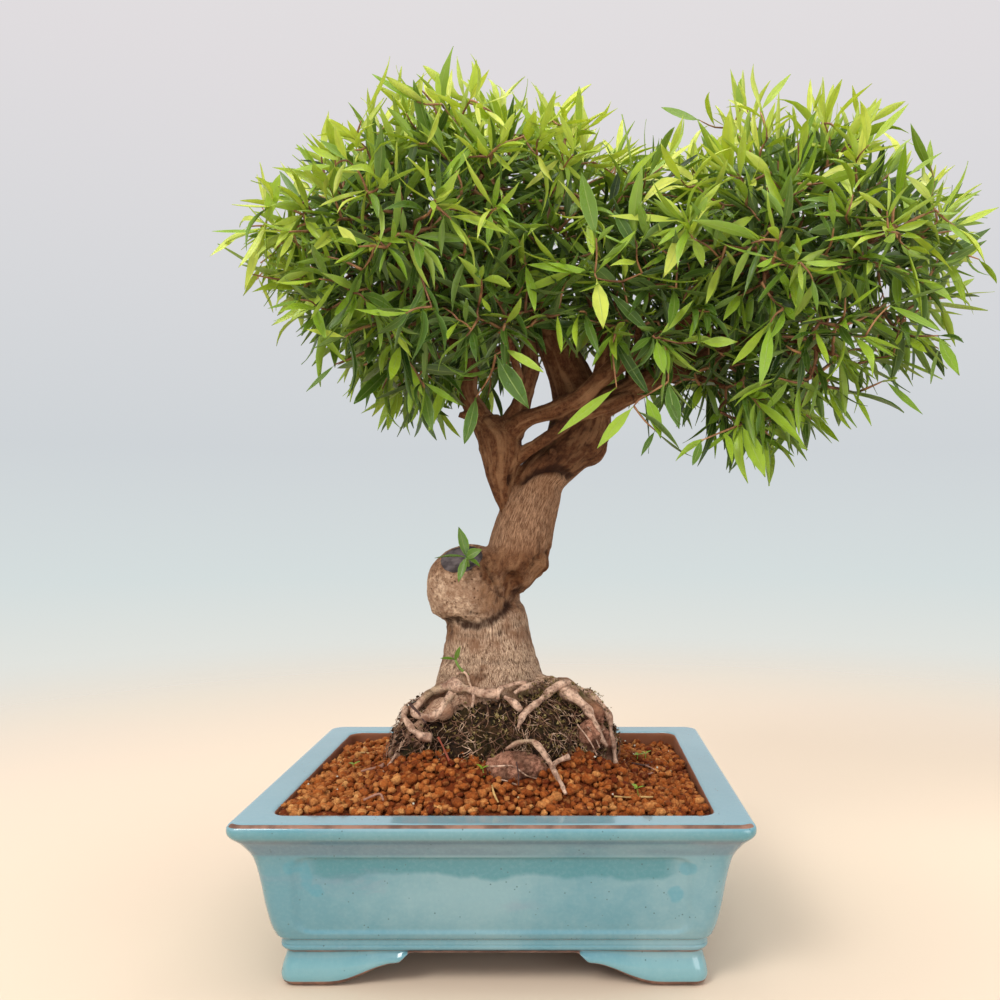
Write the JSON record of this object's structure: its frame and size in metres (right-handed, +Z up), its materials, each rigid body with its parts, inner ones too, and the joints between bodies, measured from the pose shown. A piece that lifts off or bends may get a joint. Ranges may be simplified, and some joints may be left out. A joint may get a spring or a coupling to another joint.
{
  "type": "ficus neriifolia bonsai",
  "caption": "Willow-leaved fig grown as a bonsai, its roots over an old root ball, in a shallow rectangular glazed pot with cloud feet.",
  "frame": {"origin": "on the ground, under the middle of the whole object's box", "axes": "+Z up; +X along the pot's long side, towards the right-hand dome of the crown; -Y towards the viewer, the front with the cut on the trunk's knob"},
  "size_m": [0.5148, 0.2886, 0.5853],
  "materials": {
    "glaze": "glossy turquoise glaze with paler and darker patches, bare brown clay inside and along the lip and the foot line",
    "screen": "matt dark mesh",
    "soil": "matt baked clay granules, orange brown to ochre",
    "root_ball": "matt old peaty soil held by fine roots, with moss",
    "wood": "rough tan bark with fine upright cracks, redder on the limbs",
    "paste": "satin dark grey wound paste",
    "leaf": "satin narrow leaves, yellow-green on top of the crown and dark green below"
  },
  "bodies": {
    "root": {"pot": "glaze", "drain_screen_left": "screen", "drain_screen_right": "screen", "soil": "soil", "root_ball": "root_ball", "tree": "wood", "wound_paste": "paste", "knob_shoot": "leaf", "trunk_shoot": "leaf", "spray_01": "leaf", "spray_02": "leaf", "spray_03": "leaf", "spray_04": "leaf", "spray_05": "leaf", "spray_06": "leaf", "spray_07": "leaf", "spray_08": "leaf", "spray_09": "leaf", "spray_10": "leaf", "spray_11": "leaf", "spray_12": "leaf", "spray_13": "leaf", "spray_14": "leaf", "spray_15": "leaf", "spray_16": "leaf", "spray_17": "leaf", "spray_18": "leaf", "spray_19": "leaf", "spray_20": "leaf", "spray_21": "leaf", "spray_22": "leaf", "spray_23": "leaf", "spray_24": "leaf", "spray_25": "leaf", "spray_26": "leaf", "spray_27": "leaf", "spray_28": "leaf"}
  },
  "joints": []
}
